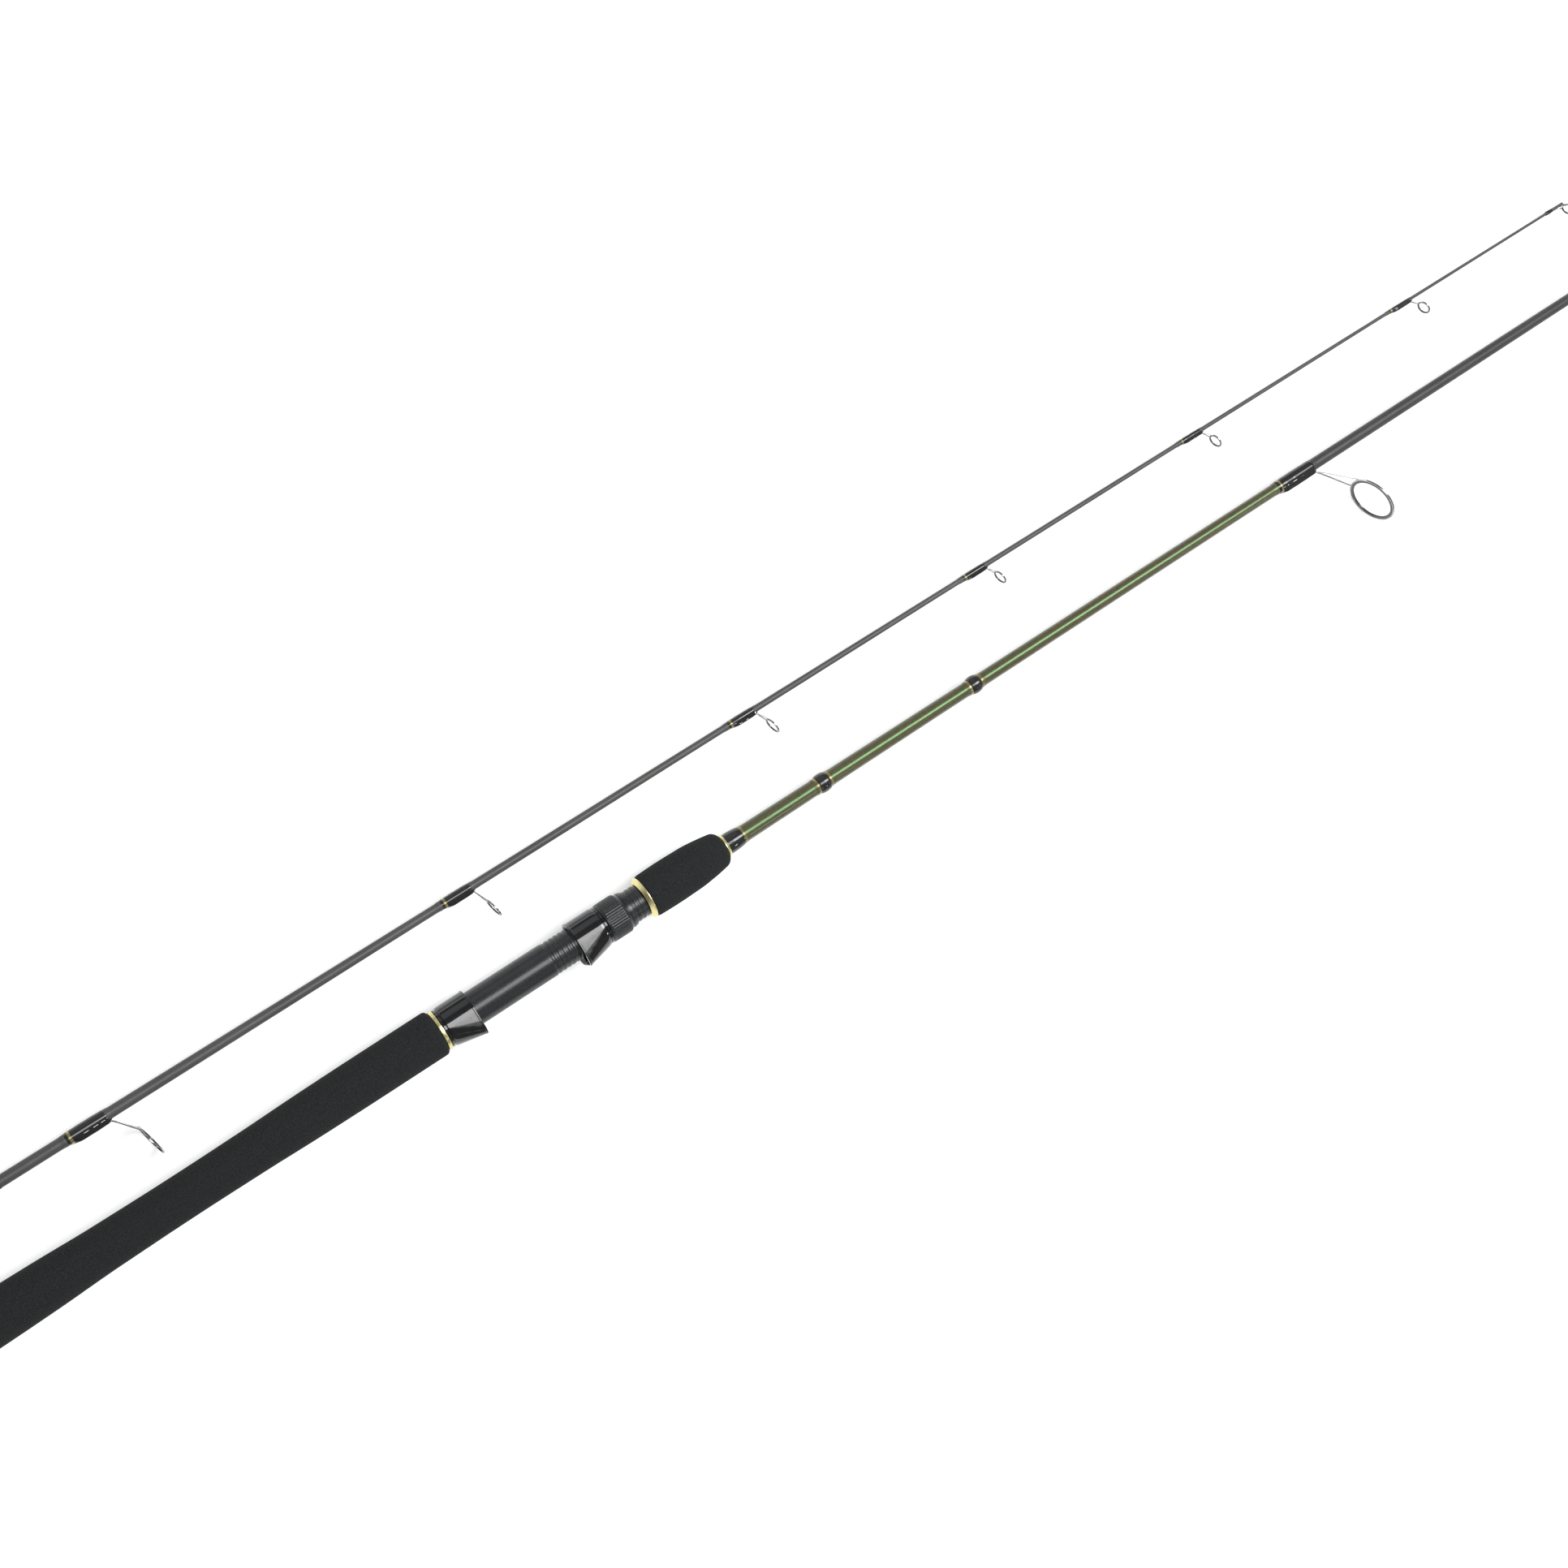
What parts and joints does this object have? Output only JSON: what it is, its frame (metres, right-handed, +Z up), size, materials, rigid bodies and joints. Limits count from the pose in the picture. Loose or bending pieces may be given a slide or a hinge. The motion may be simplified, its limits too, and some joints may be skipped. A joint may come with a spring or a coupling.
{
  "type": "spinning rod",
  "caption": "Two-piece spinning rod laid side by side: foam-gripped butt section with a screw reel seat, and a slender tip section with ring guides.",
  "frame": {"origin": "centre of the flat end face of the butt cap, on the centre line of the butt section", "axes": "+X along the butt section towards its front end; all line guides and the reel's side of the reel seat point to -Y; +Z up, and both sections rest on a level surface below"},
  "size_m": [1.2557, 0.1193, 0.0338],
  "materials": {
    "graphite": "satin",
    "green_lacquer": "gloss",
    "foam": "matte",
    "butt_rubber": "matte",
    "seat_plastic": "satin",
    "gloss_black": "gloss",
    "gold": "polished",
    "gold_thread": "gloss",
    "winding": "polished",
    "steel": "gloss",
    "ceramic": "gloss",
    "arbor_foam": "matte"
  },
  "bodies": {
    "butt_section": {"butt_blank": "green_lacquer", "butt_cap": "butt_rubber", "rear_grip": "foam", "fore_grip": "foam", "rear_check": "gold", "front_check": "gold", "winding_check": "gold", "reel_seat_barrel": "seat_plastic", "rear_arbor": "arbor_foam", "middle_arbor": "arbor_foam", "front_arbor": "arbor_foam", "fixed_hood": "gloss_black", "grip_winding": "winding", "grip_winding_trim": "gold_thread", "middle_winding_rear_trim": "gold_thread", "middle_winding": "winding", "middle_winding_front_trim": "gold_thread", "front_winding_rear_trim": "gold_thread", "front_winding": "winding", "front_winding_front_trim": "gold_thread", "guide_1_frame": "steel", "guide_1_ring": "ceramic", "guide_1_winding": "winding", "guide_1_trim": "gold_thread"},
    "hood_slide": {"moving_hood": "gloss_black"},
    "nut": {"lock_nut": "seat_plastic"},
    "tip_section": {"tip_blank": "graphite", "ferrule_sleeve": "graphite", "ferrule_winding": "winding", "ferrule_winding_trim": "gold_thread", "guide_2_frame": "steel", "guide_2_ring": "ceramic", "guide_2_winding": "winding", "guide_2_trim": "gold_thread", "guide_3_frame": "steel", "guide_3_ring": "ceramic", "guide_3_winding": "winding", "guide_3_trim": "gold_thread", "guide_4_frame": "steel", "guide_4_ring": "ceramic", "guide_4_winding": "winding", "guide_4_trim": "gold_thread", "guide_5_frame": "steel", "guide_5_ring": "ceramic", "guide_5_winding": "winding", "guide_5_trim": "gold_thread", "guide_6_frame": "steel", "guide_6_ring": "ceramic", "guide_6_winding": "winding", "guide_6_trim": "gold_thread", "guide_7_frame": "steel", "guide_7_ring": "ceramic", "guide_7_winding": "winding", "guide_7_trim": "gold_thread", "tip_top_frame": "steel", "tip_top_ring": "ceramic", "tip_top_winding": "winding"}
  },
  "joints": [
    {"name": "hood_travel", "type": "slide", "parent": "butt_section", "child": "hood_slide", "axis": [1, 0, 0], "range_m": [-0.0155, 0.008]},
    {"name": "nut_turn", "type": "hinge", "parent": "hood_slide", "child": "nut", "pos_m": [0.4162, 0, 0], "axis": [1, 0, 0], "range_deg": [-1860.1, 960.1]},
    {"name": "tip_section_turn", "type": "hinge", "parent": "butt_section", "child": "tip_section", "pos_m": [0, 0.0571, -0.0071], "axis": [1, 0, 0], "continuous": true}
  ],
  "couplings": [
    {"joint": "nut_turn", "follows": "hood_travel", "rad_per_m": 2094.4}
  ]
}
